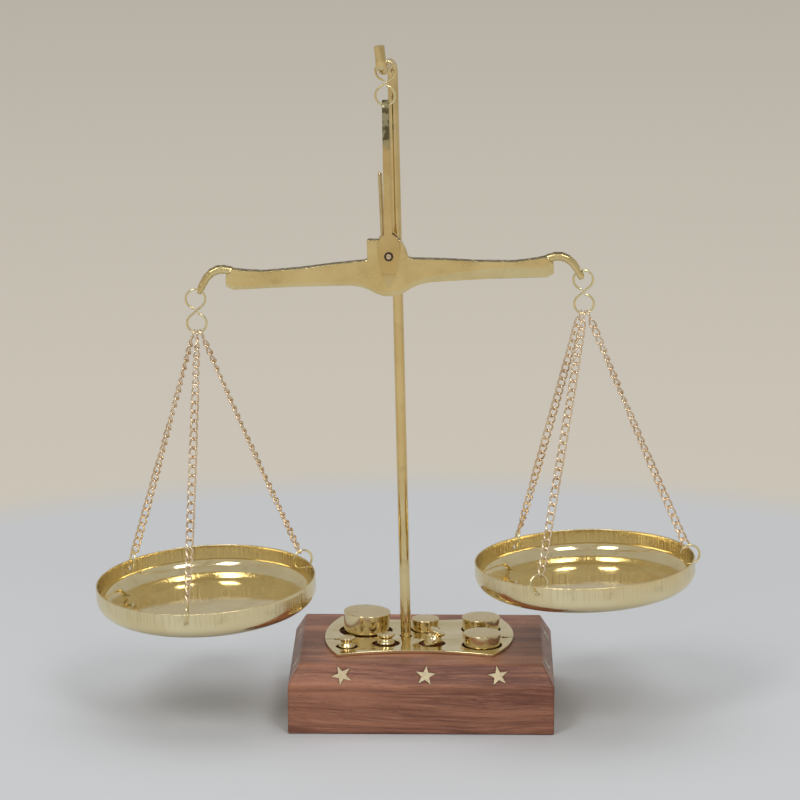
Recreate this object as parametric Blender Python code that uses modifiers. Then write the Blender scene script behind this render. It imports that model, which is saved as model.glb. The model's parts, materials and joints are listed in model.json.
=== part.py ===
"""Brass equal-arm balance on a hardwood block, with its set of seven weights.

Units are metres, +Z is up and the front of the scale faces -Y. The origin is the middle of the
block's underside. Each moving piece has its object origin on the axis that it turns about.
"""

import math

import bmesh
import bpy
from mathutils import Matrix, Vector

# Wooden block, with a steep chamfer round its top face
BASE_WIDTH = 0.121
BASE_DEPTH = 0.0925
BASE_HEIGHT = 0.0315
CHAMFER_RUN = 0.0052
CHAMFER_RISE = 0.0091
BASE_EDGE = 0.0006

# Star inlays in the chamfers
STAR_RADIUS = 0.0048
STAR_INNER = 0.382
STAR_THICKNESS = 0.0007
STAR_POCKET = 0.001
STAR_GAP = 0.0001

# Brass plate on the block
PLATE_CENTRE = (-0.0014, 0.0008)
PLATE_THICKNESS = 0.0014
PLATE_GAP = 0.0001
PLATE_CORNERS = ((-0.037, -0.0312), (0.0338, -0.0308), (0.037, 0.0312), (-0.037, 0.0312))
PLATE_SIDE_BOW = 0.0064
PLATE_RIGHT_BULGE = 0.0083
PLATE_LEFT_BULGE = 0.0067
PLATE_EDGE = 0.0003
NAIL_PLACES = ((-0.0392, -0.0062), (0.0381, -0.0018))
NAIL_HOLE_RADIUS = 0.0015
NAIL_HEAD_RADIUS = 0.0012
NAIL_SHANK_RADIUS = 0.0006
NAIL_LENGTH = 0.012
NAIL_HEAD_THICKNESS = 0.0006
SLIT_WIDTH = 0.0006
SLIT_LENGTH = 0.008

# Weights: name, place on the plate, hole radius, weight radius, height above the plate's top face,
# depth below it, and lean to the right in degrees
PLAIN_WEIGHTS = (
    ("weight_50g", (-0.0263, 0.0087), 0.0124, 0.01085, 0.009, 0.0078, 2.0),
    ("weight_20g_back", (0.0272, 0.0116), 0.0092, 0.0088, 0.006, 0.0036, 0.0),
    ("weight_20g_front", (0.0277, -0.014), 0.00925, 0.0086, 0.0058, 0.0036, 0.0),
    ("weight_10g", (0.0013, 0.0108), 0.007, 0.0064, 0.0054, 0.0036, 0.0),
)
SPOOL_WEIGHTS = (
    ("weight_5g", (-0.0166, -0.0123), 0.0064, 0.0041, 0.0046, 0.006, 0.0),
    ("weight_2g_left", (-0.0344, -0.0175), 0.0051, 0.0038, 0.0044, 0.003, 0.0),
    ("weight_2g_right", (0.0046, -0.012), 0.0062, 0.0038, 0.0053, 0.003, 24.0),
)
SPOOL_SLIP = 0.15
SPOOL_WAIST = 0.72
SPOOL_FLANGE = 0.001
SPOOL_NECK = (0.0018, 0.0026)
SPOOL_SHOULDER = 0.0039
WELL_CLEARANCE = 0.0003
WEIGHT_EDGE = 0.0003
WEIGHT_TAPER = 0.94

# Post, bent at the top into a forward crook with an upturned end
POST_RADIUS = 0.00238
POST_FOOT_X = -0.0075
POST_LEAN = math.radians(1.33)
CROOK_BACK_Z = 0.3011
CROOK_FRONT_Z = 0.2997
CROOK_TIP_Z = 0.3113
CROOK_REACH = 0.0205
CROOK_YAW = math.radians(14.0)
CROOK_TIP_LEAN = 0.0007
CROOK_BACK_BEND = 0.006
CROOK_FRONT_BEND = 0.0048
COUNTERBORE_RADIUS = 0.0052
COUNTERBORE_DEPTH = 0.0068
NUT_ACROSS_FLATS = 0.008
NUT_HEIGHT = 0.0034
WASHER_RADIUS = 0.0048
WASHER_THICKNESS = 0.0009

# Figure-of-eight hooks
HOOK_RADIUS = 0.0044
HOOK_WIRE = 0.00052
HOOK_PITCH = 0.0112
HOOK_OPEN_ANGLE = math.radians(262.0)

# Plane of the hanging parts, and the knife of the balance
BEAM_Y = -0.013
PIVOT = Vector((-0.0151, BEAM_Y, 0.2153))
BEAM_TILT = math.radians(2.48)
TOP_RING = Vector((-0.0167, BEAM_Y, 0.2989))

# Fork: a strip bent into a hairpin, whose ends widen into prongs round the pin
FORK_GAP = 0.0062
FORK_STRIP = 0.0014
FORK_TOP_WIDTH = 0.0029
FORK_NECK_WIDTH = 0.0037
FORK_HEAD_WIDTH = 0.0103
FORK_HEAD_Z = 0.0052
FORK_SHOULDER_Z = 0.0101
FORK_TIP_Z = -0.0151
FORK_TIP_WIDTH = 0.0014
FORK_BEND_CLEARANCE = 0.0011
PIN_RADIUS = 0.00125
PIN_HEAD_RADIUS = 0.0021
PIN_HEAD_HEIGHT = 0.0007
PRONG_HOLE_RADIUS = 0.0015
BEAM_HOLE_RADIUS = 0.00145

# Beam, in its own frame: X along the arms, Z up, origin on the pin
BEAM_THICKNESS = 0.005
BEAM_EDGE = 0.0007
TIP_ROD = 0.001
ARM_END_X = 0.074
HOOK_HOLE_RADIUS = 0.0012
EYE_DROP = 0.00015
POINTER_X = -0.0024
POINTER_RADIUS = 0.00095
POINTER_FOOT_Z = 0.0042
POINTER_TIP_Z = 0.0379
POINTER_SOCKET_RADIUS = 0.00115

# Pans, and the jump rings in their walls
PAN_RADIUS = 0.0505
PAN_WALL = 0.0007
PAN_STRAIGHT = 0.0063
PAN_DEPTH = 0.014
PAN_CORNER = 0.012
PAN_HOLE_RADIUS = 0.00125
RING_RADIUS = 0.0044
RING_WIRE = 0.00048
CHAIN_RADIUS = 0.00065
LINK_RADIUS = 0.0022
LINK_WIRE = 0.00036
LINK_ANGLES = {"left": -22.0, "front": 0.0, "right": 22.0}
PLAY = 0.0003

# Each side: the eye in the beam's tip, how far the hook's upper ring hangs to one side of it, the
# hook's lean, the rim's centre, its tilts in degrees (towards the front, and right side up), and
# each chain's bearing and its ring's turn, in degrees, with the depth of its hole under the rim
SIDES = {
    "left": {
        "sign": -1,
        "eye": (-0.0862, -0.0129),
        "ring_shift": -0.0019,
        "lean": math.radians(2.6),
        "rim": Vector((-0.0994, BEAM_Y, 0.0636)),
        "tilt": (2.9, 2.9),
        "chains": {
            "left": (138.5, -35.0, 0.0038),
            "front": (263.5, 8.0, 0.0038),
            "right": (25.0, 0.0, 0.0036),
        },
    },
    "right": {
        "sign": 1,
        "eye": (0.0849, -0.011),
        "ring_shift": 0.0023,
        "lean": math.radians(2.6),
        "rim": Vector((0.0745, BEAM_Y, 0.0742)),
        "tilt": (0.4, 2.0),
        "chains": {
            "left": (129.0, -35.0, 0.0042),
            "front": (243.5, -38.0, 0.0034),
            "right": (4.0, 8.0, 0.0048),
        },
    },
}

parts = None
cutters = None


# Scene and materials


def clear_scene():
    for obj in list(bpy.data.objects):
        bpy.data.objects.remove(obj)


def new_collection(name):
    collection = bpy.data.collections.new(name)
    bpy.context.scene.collection.children.link(collection)
    return collection


def material(name, colour, metallic, roughness):
    found = bpy.data.materials.get(name)
    if found:
        return found
    made = bpy.data.materials.new(name)
    made.use_nodes = True
    shader = made.node_tree.nodes["Principled BSDF"]
    shader.inputs["Base Color"].default_value = (*colour, 1.0)
    shader.inputs["Metallic"].default_value = metallic
    shader.inputs["Roughness"].default_value = roughness
    return made


def rosewood():
    return material("rosewood", (0.17, 0.055, 0.035), 0.0, 0.35)


def polished_brass():
    return material("polished_brass", (0.82, 0.62, 0.28), 1.0, 0.14)


def cast_brass():
    return material("cast_brass", (0.78, 0.57, 0.24), 1.0, 0.28)


def spun_brass():
    return material("spun_brass", (0.84, 0.67, 0.34), 1.0, 0.18)


def wire_brass():
    return material("wire_brass", (0.8, 0.7, 0.42), 1.0, 0.2)


def chain_brass():
    return material("chain_brass", (0.82, 0.64, 0.44), 1.0, 0.25)


def turned_brass():
    return material("turned_brass", (0.8, 0.66, 0.36), 1.0, 0.22)


def inlay_brass():
    return material("inlay_brass", (0.78, 0.6, 0.28), 1.0, 0.3)


def zinc_steel():
    return material("zinc_steel", (0.6, 0.6, 0.58), 1.0, 0.4)


# Building blocks


def place(obj, look, location=(0, 0, 0), rotation=(0, 0, 0)):
    obj.location = location
    obj.rotation_euler = rotation
    if not obj.data.materials:
        obj.data.materials.append(look)
    return obj


def mesh_object(name, mesh, look, location=(0, 0, 0), rotation=(0, 0, 0), group=None):
    obj = bpy.data.objects.new(name, mesh)
    (group or parts).objects.link(obj)
    return place(obj, look, location, rotation)


def smooth(obj, angle=40.0):
    obj.data.shade_smooth()
    obj.data.set_sharp_from_angle(angle=math.radians(angle))
    return obj


def mesh_from_bmesh(name, bm):
    mesh = bpy.data.meshes.new(name)
    bm.to_mesh(mesh)
    bm.free()
    return mesh


def turned(name, profile, look, location=(0, 0, 0), rotation=(0, 0, 0), steps=32, group=None):
    """A turned shape. The profile is (radius, height) points that run down the outer side."""
    bm = bmesh.new()
    points = [bm.verts.new((radius, 0, height)) for radius, height in profile]
    for first, second in zip(points, points[1:]):
        bm.edges.new((first, second))
    obj = mesh_object(name, mesh_from_bmesh(name, bm), look, location, rotation, group)
    screw = obj.modifiers.new("turn", "SCREW")
    screw.steps = steps
    screw.render_steps = steps
    screw.use_merge_vertices = True
    screw.merge_threshold = 0.00001
    return obj


def rod_profile(radius, low, high):
    return ((0, high), (radius, high), (radius, low), (0, low))


def flat_outline(name, outline, thickness, look=None, group=None):
    """A flat shape cut from an X-Y outline, standing half its thickness each side of Z = 0."""
    curve = bpy.data.curves.new(name, "CURVE")
    curve.dimensions = "2D"
    curve.fill_mode = "BOTH"
    curve.extrude = thickness / 2
    spline = curve.splines.new("POLY")
    spline.points.add(len(outline) - 1)
    for point, (x, y) in zip(spline.points, outline):
        point.co = (x, y, 0, 1)
    spline.use_cyclic_u = True
    obj = bpy.data.objects.new(name, curve)
    (group or parts).objects.link(obj)
    return curve_to_mesh(obj, look, group)


def wire(name, points, radius, look=None, radii=None, cyclic=False, sides=2, group=None):
    """A round wire along the points, thinner or thicker where radii says so."""
    curve = bpy.data.curves.new(name, "CURVE")
    curve.dimensions = "3D"
    curve.bevel_depth = radius
    curve.bevel_resolution = sides
    curve.use_fill_caps = not cyclic
    spline = curve.splines.new("POLY")
    spline.points.add(len(points) - 1)
    for index, (point, place_at) in enumerate(zip(spline.points, points)):
        point.co = (*place_at, 1)
        point.radius = radii[index] if radii else 1.0
    spline.use_cyclic_u = cyclic
    obj = bpy.data.objects.new(name, curve)
    (group or parts).objects.link(obj)
    return curve_to_mesh(obj, look, group)


def curve_to_mesh(obj, look, group):
    name = obj.name
    bpy.context.view_layer.update()
    graph = bpy.context.evaluated_depsgraph_get()
    mesh = bpy.data.meshes.new_from_object(obj.evaluated_get(graph))
    matrix = obj.matrix_world.copy()
    bpy.data.objects.remove(obj)
    bm = bmesh.new()
    bm.from_mesh(mesh)
    bmesh.ops.remove_doubles(bm, verts=bm.verts, dist=0.000001)
    bm.to_mesh(mesh)
    bm.free()
    made = bpy.data.objects.new(name, mesh)
    (group or parts).objects.link(made)
    made.matrix_world = matrix
    if look:
        made.data.materials.append(look)
    return made


def cutter(obj):
    obj.hide_render = True
    obj.display_type = "WIRE"
    return obj


def round_cutter(name, radius, low, high, location=(0, 0, 0), rotation=(0, 0, 0), steps=24):
    profile = rod_profile(radius, low, high)
    return cutter(turned(name, profile, None, location, rotation, steps, cutters))


def cut(obj, tool, operation="DIFFERENCE"):
    boolean = obj.modifiers.new(tool.name, "BOOLEAN")
    boolean.operation = operation
    boolean.object = tool
    boolean.solver = "EXACT"
    return obj


def soften(obj, width, segments=1, angle=30.0):
    bevel = obj.modifiers.new("edges", "BEVEL")
    bevel.width = width
    bevel.segments = segments
    bevel.limit_method = "ANGLE"
    bevel.angle_limit = math.radians(angle)
    return obj


def arc(centre, radius, start, end, steps):
    """Points along an arc from start to end, in radians, with both ends."""
    return [
        (
            centre[0] + radius * math.cos(start + (end - start) * step / steps),
            centre[1] + radius * math.sin(start + (end - start) * step / steps),
        )
        for step in range(steps + 1)
    ]


def bowed(start, end, sagitta, steps):
    """Points from start up to end, left out, along a bow that stands sagitta to the left of it."""
    start, end = Vector(start), Vector(end)
    along = end - start
    across = Vector((-along.y, along.x)).normalized()
    points = []
    for step in range(steps):
        share = step / steps
        points.append(tuple(start + along * share + across * sagitta * 4 * share * (1 - share)))
    return points


def upright(obj):
    """Turns a flat shape's outline from X-Y to X-Z, facing the front."""
    obj.data.transform(Matrix.Rotation(math.radians(90), 4, "X"))
    return obj


# Wooden block


def block_mesh():
    bm = bmesh.new()
    bmesh.ops.create_cube(bm, size=1)
    bmesh.ops.scale(bm, vec=(BASE_WIDTH, BASE_DEPTH, BASE_HEIGHT), verts=bm.verts)
    bmesh.ops.translate(bm, vec=(0, 0, BASE_HEIGHT / 2), verts=bm.verts)
    bmesh.ops.bisect_plane(
        bm,
        geom=bm.verts[:] + bm.edges[:] + bm.faces[:],
        plane_co=(0, 0, BASE_HEIGHT - CHAMFER_RISE),
        plane_no=(0, 0, 1),
    )
    for vert in bm.verts:
        if vert.co.z > BASE_HEIGHT - CHAMFER_RISE / 2:
            vert.co.x -= math.copysign(CHAMFER_RUN, vert.co.x)
            vert.co.y -= math.copysign(CHAMFER_RUN, vert.co.y)
    return mesh_from_bmesh("base_block", bm)


def star_outline(radius):
    points = []
    for tip in range(10):
        reach = radius if tip % 2 == 0 else radius * STAR_INNER
        angle = math.pi / 2 + tip * math.pi / 5
        points.append((reach * math.cos(angle), reach * math.sin(angle)))
    return points


def star_places():
    """(name, face, distance along that face's chamfer, turn in degrees) for each inlay."""
    front = ((-0.036, 26.0), (0.002, -6.0), (0.035, 9.0))
    back = ((-0.035, -12.0), (0.0, 4.0), (0.035, 17.0))
    side = ((-0.026, 15.0), (0.024, -8.0))
    for face, stars in (("front", front), ("right", side), ("back", back), ("left", side)):
        for number, (along, turn) in enumerate(stars, 1):
            yield f"star_{face}_{number}", face, along, turn


def star_matrix(face, along, turn):
    """Carries a star from the X-Y plane to the middle of a chamfer, facing out."""
    turns = {"front": 0, "right": 90, "back": 180, "left": 270}
    half = BASE_DEPTH / 2 if face in ("front", "back") else BASE_WIDTH / 2
    slope = math.atan2(CHAMFER_RISE, CHAMFER_RUN)
    middle = Vector((along, -half + CHAMFER_RUN / 2, BASE_HEIGHT - CHAMFER_RISE / 2))
    return (
        Matrix.Rotation(math.radians(turns[face]), 4, "Z")
        @ Matrix.Translation(middle)
        @ Matrix.Rotation(slope, 4, "X")
        @ Matrix.Rotation(math.radians(turn), 4, "Z")
    )


def make_stars(block):
    tip_gap = STAR_GAP / math.sin(math.radians(18))
    for name, face, along, turn in star_places():
        matrix = star_matrix(face, along, turn)
        star = flat_outline(name, star_outline(STAR_RADIUS), STAR_THICKNESS, inlay_brass())
        star.matrix_world = matrix @ Matrix.Translation((0, 0, -STAR_THICKNESS / 2))
        pocket = flat_outline(
            "pocket_" + name, star_outline(STAR_RADIUS + tip_gap), 2 * STAR_POCKET, group=cutters
        )
        pocket.matrix_world = matrix
        cut(block, cutter(pocket))


def make_block():
    block = mesh_object("base_block", block_mesh(), rosewood())
    soften(block, BASE_EDGE, 2, 20.0)
    make_stars(block)
    for name, (x, y), hole, _, _, depth, _ in PLAIN_WEIGHTS + SPOOL_WEIGHTS:
        cut(block, well("well_" + name, x, y, hole, depth))
    for index, (x, y) in enumerate(NAIL_PLACES):
        pilot = NAIL_SHANK_RADIUS + PLAY
        bottom = BASE_HEIGHT - NAIL_LENGTH - PLAY
        cut(block, round_cutter(f"pilot_{index}", pilot, bottom, BASE_HEIGHT + PLAY, (x, y, 0), steps=12))
    foot = (POST_FOOT_X, 0, 0)
    cut(block, round_cutter("post_bore", POST_RADIUS + PLAY, -PLAY, BASE_HEIGHT + PLAY, foot))
    cut(block, round_cutter("counterbore", COUNTERBORE_RADIUS, -PLAY, COUNTERBORE_DEPTH, foot, steps=32))
    return block


def plate_top():
    return BASE_HEIGHT + PLATE_GAP + PLATE_THICKNESS


def well(name, x, y, radius, depth):
    """A round well in the block that reaches depth below the plate's top face."""
    bottom = plate_top() - depth - WELL_CLEARANCE
    return round_cutter(name, radius, bottom, BASE_HEIGHT + PLAY, (x, y, 0), steps=24)


# Brass plate


def plate_outline():
    front_left, front_right, back_right, back_left = PLATE_CORNERS
    return (
        bowed(front_left, front_right, PLATE_SIDE_BOW, 16)
        + bowed(front_right, back_right, -PLATE_RIGHT_BULGE, 12)
        + bowed(back_right, back_left, PLATE_SIDE_BOW, 16)
        + bowed(back_left, front_left, -PLATE_LEFT_BULGE, 12)
    )


def make_plate():
    plate = flat_outline("weight_plate", plate_outline(), PLATE_THICKNESS, polished_brass())
    plate.location = (*PLATE_CENTRE, BASE_HEIGHT + PLATE_GAP + PLATE_THICKNESS / 2)
    soften(plate, PLATE_EDGE, 1, 50.0)
    low, high = BASE_HEIGHT - PLAY, plate_top() + PLAY
    for name, (x, y), hole, *_ in PLAIN_WEIGHTS + SPOOL_WEIGHTS:
        cut(plate, round_cutter("hole_" + name, hole, low, high, (x, y, 0), steps=32))
    foot = (POST_FOOT_X, 0, 0)
    cut(plate, round_cutter("plate_post_hole", POST_RADIUS + 2 * PLAY, low, high, foot))
    for index, (x, y) in enumerate(NAIL_PLACES):
        cut(plate, round_cutter(f"nail_hole_{index}", NAIL_HOLE_RADIUS, low, high, (x, y, 0), steps=16))
        cut(plate, slit_cutter(f"slit_{index}", x, y))
    return plate


def slit_cutter(name, x, y):
    """A saw cut from a nail hole out through the near end of the plate."""
    bm = bmesh.new()
    bmesh.ops.create_cube(bm, size=1)
    bmesh.ops.scale(bm, vec=(SLIT_LENGTH, SLIT_WIDTH, 4 * PLATE_THICKNESS), verts=bm.verts)
    middle = (x + math.copysign(SLIT_LENGTH / 2, x), y, BASE_HEIGHT)
    return cutter(mesh_object(name, mesh_from_bmesh(name, bm), None, middle, group=cutters))


def make_nails():
    head_top = BASE_HEIGHT + PLATE_GAP + NAIL_HEAD_THICKNESS + PLAY
    for side, (x, y) in zip(("left", "right"), NAIL_PLACES):
        low = BASE_HEIGHT - NAIL_LENGTH - head_top
        profile = (
            (0, 0),
            (NAIL_HEAD_RADIUS * 0.7, 0),
            (NAIL_HEAD_RADIUS, -NAIL_HEAD_THICKNESS / 2),
            (NAIL_HEAD_RADIUS, -NAIL_HEAD_THICKNESS),
            (NAIL_SHANK_RADIUS, -NAIL_HEAD_THICKNESS),
            (NAIL_SHANK_RADIUS, low + 2 * NAIL_SHANK_RADIUS),
            (0, low),
        )
        turned(f"plate_nail_{side}", profile, cast_brass(), (x, y, head_top), steps=16)


# Weights


def make_plain_weights():
    for name, (x, y), _, radius, above, depth, lean in PLAIN_WEIGHTS:
        low = radius * WEIGHT_TAPER
        height = above + depth
        profile = (
            (0, height),
            (radius - WEIGHT_EDGE, height),
            (radius, height - WEIGHT_EDGE),
            (low, WEIGHT_EDGE),
            (low - WEIGHT_EDGE, 0),
            (0, 0),
        )
        foot = (x, y, plate_top() - depth + math.sin(math.radians(lean)) * low)
        turned(name, profile, turned_brass(), foot, (0, math.radians(lean), 0), 32)


def spool_profile(radius, length):
    """A turned weight: a thin flange on top, a waist, and a plain body under it."""
    waist = radius * SPOOL_WAIST
    neck_top, neck_foot = SPOOL_NECK
    return (
        (0, length),
        (radius - WEIGHT_EDGE, length),
        (radius, length - WEIGHT_EDGE),
        (radius, length - SPOOL_FLANGE),
        (waist, length - neck_top),
        (waist, length - neck_foot),
        (radius, length - SPOOL_SHOULDER),
        (radius, WEIGHT_EDGE),
        (radius - WEIGHT_EDGE, 0),
        (0, 0),
    )


def make_spool_weights():
    for name, (x, y), _, radius, above, depth, lean in SPOOL_WEIGHTS:
        turn = math.radians(lean)
        length = above + depth
        foot_z = plate_top() - depth + radius * math.sin(turn)
        foot = (x - length * SPOOL_SLIP * math.sin(turn), y, foot_z)
        turned(name, spool_profile(radius, length), turned_brass(), foot, (0, turn, 0), 24)


# Post, nut and washer


def post_x(z):
    return POST_FOOT_X - math.tan(POST_LEAN) * max(0.0, z - BASE_HEIGHT)


def post_path():
    """The post's middle line: up with a slight lean, forward at the top, and up again at the end."""
    back = CROOK_BACK_Z - CROOK_BACK_BEND
    points = [Vector((POST_FOOT_X, 0, 0.0014)), Vector((POST_FOOT_X, 0, BASE_HEIGHT + 0.001))]
    points += [Vector((post_x(z), 0, z)) for z in (0.1, 0.17, 0.24)]
    turns = arc((CROOK_BACK_BEND, back), CROOK_BACK_BEND, math.pi, math.pi / 2, 6)
    front = (CROOK_REACH - CROOK_FRONT_BEND, CROOK_FRONT_Z + CROOK_FRONT_BEND)
    turns += arc(front, CROOK_FRONT_BEND, -math.pi / 2, 0, 6)
    forward = Vector((-math.sin(CROOK_YAW), -math.cos(CROOK_YAW), 0))
    top_x = Vector((post_x(back), 0, 0))
    points += [top_x + forward * reach + Vector((0, 0, z)) for reach, z in turns]
    points.append(top_x + forward * CROOK_REACH + Vector((-CROOK_TIP_LEAN, 0, CROOK_TIP_Z)))
    return points


def make_post():
    smooth(wire("post", post_path(), POST_RADIUS, polished_brass(), sides=4))
    hole = POST_RADIUS + PLAY / 2
    washer_z = COUNTERBORE_DEPTH - PLAY - WASHER_THICKNESS
    washer = turned(
        "post_washer",
        rod_profile(WASHER_RADIUS, 0, WASHER_THICKNESS),
        zinc_steel(),
        (POST_FOOT_X, 0, washer_z),
    )
    nut_z = washer_z - PLAY - NUT_HEIGHT
    corner = NUT_ACROSS_FLATS / math.sqrt(3)
    nut = turned(
        "post_nut", rod_profile(corner, 0, NUT_HEIGHT), zinc_steel(), (POST_FOOT_X, 0, nut_z), steps=6
    )
    bore = round_cutter("nut_bore", hole, 0, COUNTERBORE_DEPTH + PLAY, (POST_FOOT_X, 0, 0))
    cut(washer, bore)
    cut(nut, bore)


# Hooks


def hook_path(shift=0.0, lean=0.0):
    """A figure-of-eight hook in its X-Z plane. Its upper ring passes through the origin, shift to
    one side of its top, and the lower ring hangs under it, leaning by lean."""
    top = Vector((shift, 0, -math.sqrt(HOOK_RADIUS**2 - shift**2)))
    leave = -math.pi / 2 + math.acos(2 * HOOK_RADIUS / HOOK_PITCH)
    upper = arc((0, 0), HOOK_RADIUS, HOOK_OPEN_ANGLE, leave, 18)
    lower = [(-x, -HOOK_PITCH - z) for x, z in reversed(upper)]
    swing = Matrix.Rotation(-lean, 3, "Y")
    return [top + swing @ Vector((x, 0, z)) for x, z in upper + lower]


def lower_ring_foot(shift=0.0, lean=0.0):
    """The lowest point of the hook's wire, from the point that it hangs by."""
    top = Vector((shift, 0, -math.sqrt(HOOK_RADIUS**2 - shift**2)))
    return top + Matrix.Rotation(-lean, 3, "Y") @ Vector((0, 0, -HOOK_PITCH - HOOK_RADIUS))


def make_top_hook():
    hook = smooth(wire("top_s_hook", hook_path(), HOOK_WIRE, wire_brass()))
    hook.location = TOP_RING + Vector((0, 0, HOOK_RADIUS))


# Fork and pin


def fork_top():
    """The height of the fork's inner bend, over the hook's wire."""
    ring_foot = TOP_RING.z - HOOK_PITCH - HOOK_RADIUS
    return ring_foot + FORK_BEND_CLEARANCE


def fork_front():
    """The fork's outline seen from the front, in X and Z from the pin."""
    top_x = TOP_RING.x - PIVOT.x
    top_z = fork_top() + FORK_STRIP + PLAY - PIVOT.z
    top, neck, head, tip = (
        width / 2 for width in (FORK_TOP_WIDTH, FORK_NECK_WIDTH, FORK_HEAD_WIDTH, FORK_TIP_WIDTH)
    )
    neck_x = top_x * FORK_SHOULDER_Z / top_z
    right = [(neck_x + neck, FORK_SHOULDER_Z)]
    right += [(head * 0.76, FORK_SHOULDER_Z - 0.0017), (head * 0.95, FORK_HEAD_Z + 0.0012)]
    right += [(head, FORK_HEAD_Z - 0.0015), (head * 0.93, -0.0005), (head * 0.72, -0.006)]
    right += [(head * 0.5, -0.0105), (tip, FORK_TIP_Z + 0.0006)]
    left = [(-x, z) for x, z in reversed(right[1:])] + [(neck_x - neck, FORK_SHOULDER_Z)]
    return (
        [(top_x + top, top_z)] + right + [(0.0, FORK_TIP_Z)] + left + [(top_x - top, top_z)]
    )


def hairpin_outline():
    """The fork seen from the side, in Y and Z from the pin: two legs and the bend over the hook."""
    inner = FORK_GAP / 2
    outer = inner + FORK_STRIP
    bend_z = fork_top() - inner - PIVOT.z
    foot = FORK_TIP_Z - PLAY
    over = arc((0, bend_z), outer, 0, math.pi, 10)
    under = arc((0, bend_z), inner, math.pi, 0, 10)
    return [(outer, foot)] + over + [(-outer, foot), (-inner, foot)] + under + [(inner, foot)]


def make_fork():
    pin_depth = FORK_GAP + 4 * FORK_STRIP
    fork = upright(flat_outline("fork", list(reversed(fork_front())), pin_depth, polished_brass()))
    fork.location = PIVOT
    side = flat_outline("hairpin", hairpin_outline(), 0.02, group=cutters)
    side.data.transform(Matrix.Rotation(math.radians(90), 4, "X"))
    side.data.transform(Matrix.Rotation(math.radians(90), 4, "Z"))
    side.location = PIVOT
    cut(fork, cutter(side), "INTERSECT")
    across = (math.radians(90), 0, 0)
    cut(fork, round_cutter("prong_hole", PRONG_HOLE_RADIUS, -0.01, 0.01, PIVOT, across, 24))
    pin_half = FORK_GAP / 2 + FORK_STRIP + PLAY
    head_top = pin_half + PIN_HEAD_HEIGHT
    profile = (
        (0, head_top),
        (PIN_HEAD_RADIUS * 0.55, head_top - 0.0001),
        (PIN_HEAD_RADIUS, pin_half + 0.0002),
        (PIN_HEAD_RADIUS, pin_half),
        (PIN_RADIUS, pin_half),
        (PIN_RADIUS, -pin_half),
        (PIN_HEAD_RADIUS, -pin_half),
        (PIN_HEAD_RADIUS, -pin_half - 0.0002),
        (PIN_HEAD_RADIUS * 0.55, -head_top + 0.0001),
        (0, -head_top),
    )
    turned("pivot_pin", profile, cast_brass(), PIVOT, across, 24)


# Beam and pointer


def beam_half(side):
    """The lower and upper edges of one arm, from the middle to its end, in X and Z from the pin."""
    lower = [(0.0, -0.0187), (0.0033, -0.0184), (0.0064, -0.0172), (0.0098, -0.0152)]
    lower += [(0.0134, -0.0138), (0.018, -0.013), (0.044, -0.0126), (0.0708, -0.0129)]
    upper = [(0.0566, -0.005), (0.04, -0.0042), (0.025, -0.0028), (0.011, -0.0019)]
    end = [(ARM_END_X, -0.0113), (ARM_END_X, -0.0066), (0.0704, -0.0034), (0.0662, -0.0041)]
    return [(side * x, z) for x, z in lower + end + upper]


def beam_outline():
    boss = [(0.0088, -0.0014), (0.0077, 0.0028), (0.0057, 0.0067), (0.0048, 0.0072)]
    boss += [(-0.0091, 0.0075), (-0.0097, 0.0069), (-0.0097, -0.0014)]
    right = beam_half(1)
    left = list(reversed(beam_half(-1)))[:-1]
    return right + boss + left


def tip_path():
    """The hook at the right-hand arm's end: (x, z, radius) along its middle line."""
    return (
        (0.069, -0.0054, 0.0017),
        (0.072, -0.0043, 0.002),
        (0.0748, -0.0037, 0.0021),
        (0.0776, -0.0038, 0.0021),
        (0.0804, -0.005, 0.002),
        (0.0829, -0.0074, 0.0019),
        (0.0848, -0.0106, 0.0018),
        (0.0858, -0.0126, 0.0018),
        (0.0861, -0.0136, 0.0016),
        (0.0863, -0.0146, 0.0011),
    )


def make_beam():
    tilt = (0, -BEAM_TILT, 0)
    across = (math.radians(90), 0, 0)
    beam = upright(flat_outline("beam", beam_outline(), BEAM_THICKNESS, cast_brass()))
    beam.location = PIVOT
    beam.rotation_euler = tilt
    soften(beam, BEAM_EDGE, 2, 30.0)
    for name, side in SIDES.items():
        points = [(side["sign"] * x, 0, z) for x, z, _ in tip_path()]
        radii = [radius / TIP_ROD for *_, radius in tip_path()]
        tip = wire(f"beam_tip_{name}", points, TIP_ROD, None, radii, sides=3, group=cutters)
        tip.location = PIVOT
        tip.rotation_euler = tilt
        cut(beam, cutter(tip), "UNION")
        eye = tip_hole(side) - Vector((0, 0, EYE_DROP))
        turn = (0, math.acos(side["ring_shift"] / HOOK_RADIUS), 0)
        cut(beam, round_cutter(f"tip_hole_{name}", HOOK_HOLE_RADIUS, -0.004, 0.004, eye, turn, 16))
    cut(beam, round_cutter("beam_hole", BEAM_HOLE_RADIUS, -0.01, 0.01, PIVOT, across, 24))
    foot = beam_point(POINTER_X, POINTER_FOOT_Z - PLAY)
    cut(beam, round_cutter("pointer_socket", POINTER_SOCKET_RADIUS, 0, 0.006, foot, tilt, 16))


def beam_point(x, z):
    """A point of the beam's own frame, in the world."""
    return PIVOT + Matrix.Rotation(-BEAM_TILT, 3, "Y") @ Vector((x, 0, z))


def make_pointer():
    tip = arc((0, POINTER_TIP_Z - POINTER_RADIUS), POINTER_RADIUS, math.pi / 2, 0, 4)
    profile = [(0, POINTER_TIP_Z)] + tip[1:] + [(POINTER_RADIUS, POINTER_FOOT_Z), (0, POINTER_FOOT_Z)]
    location = beam_point(POINTER_X, 0)
    turned("pointer", profile, polished_brass(), location, (0, -BEAM_TILT, 0), 12)


# Pans, rings, links and chains


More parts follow.
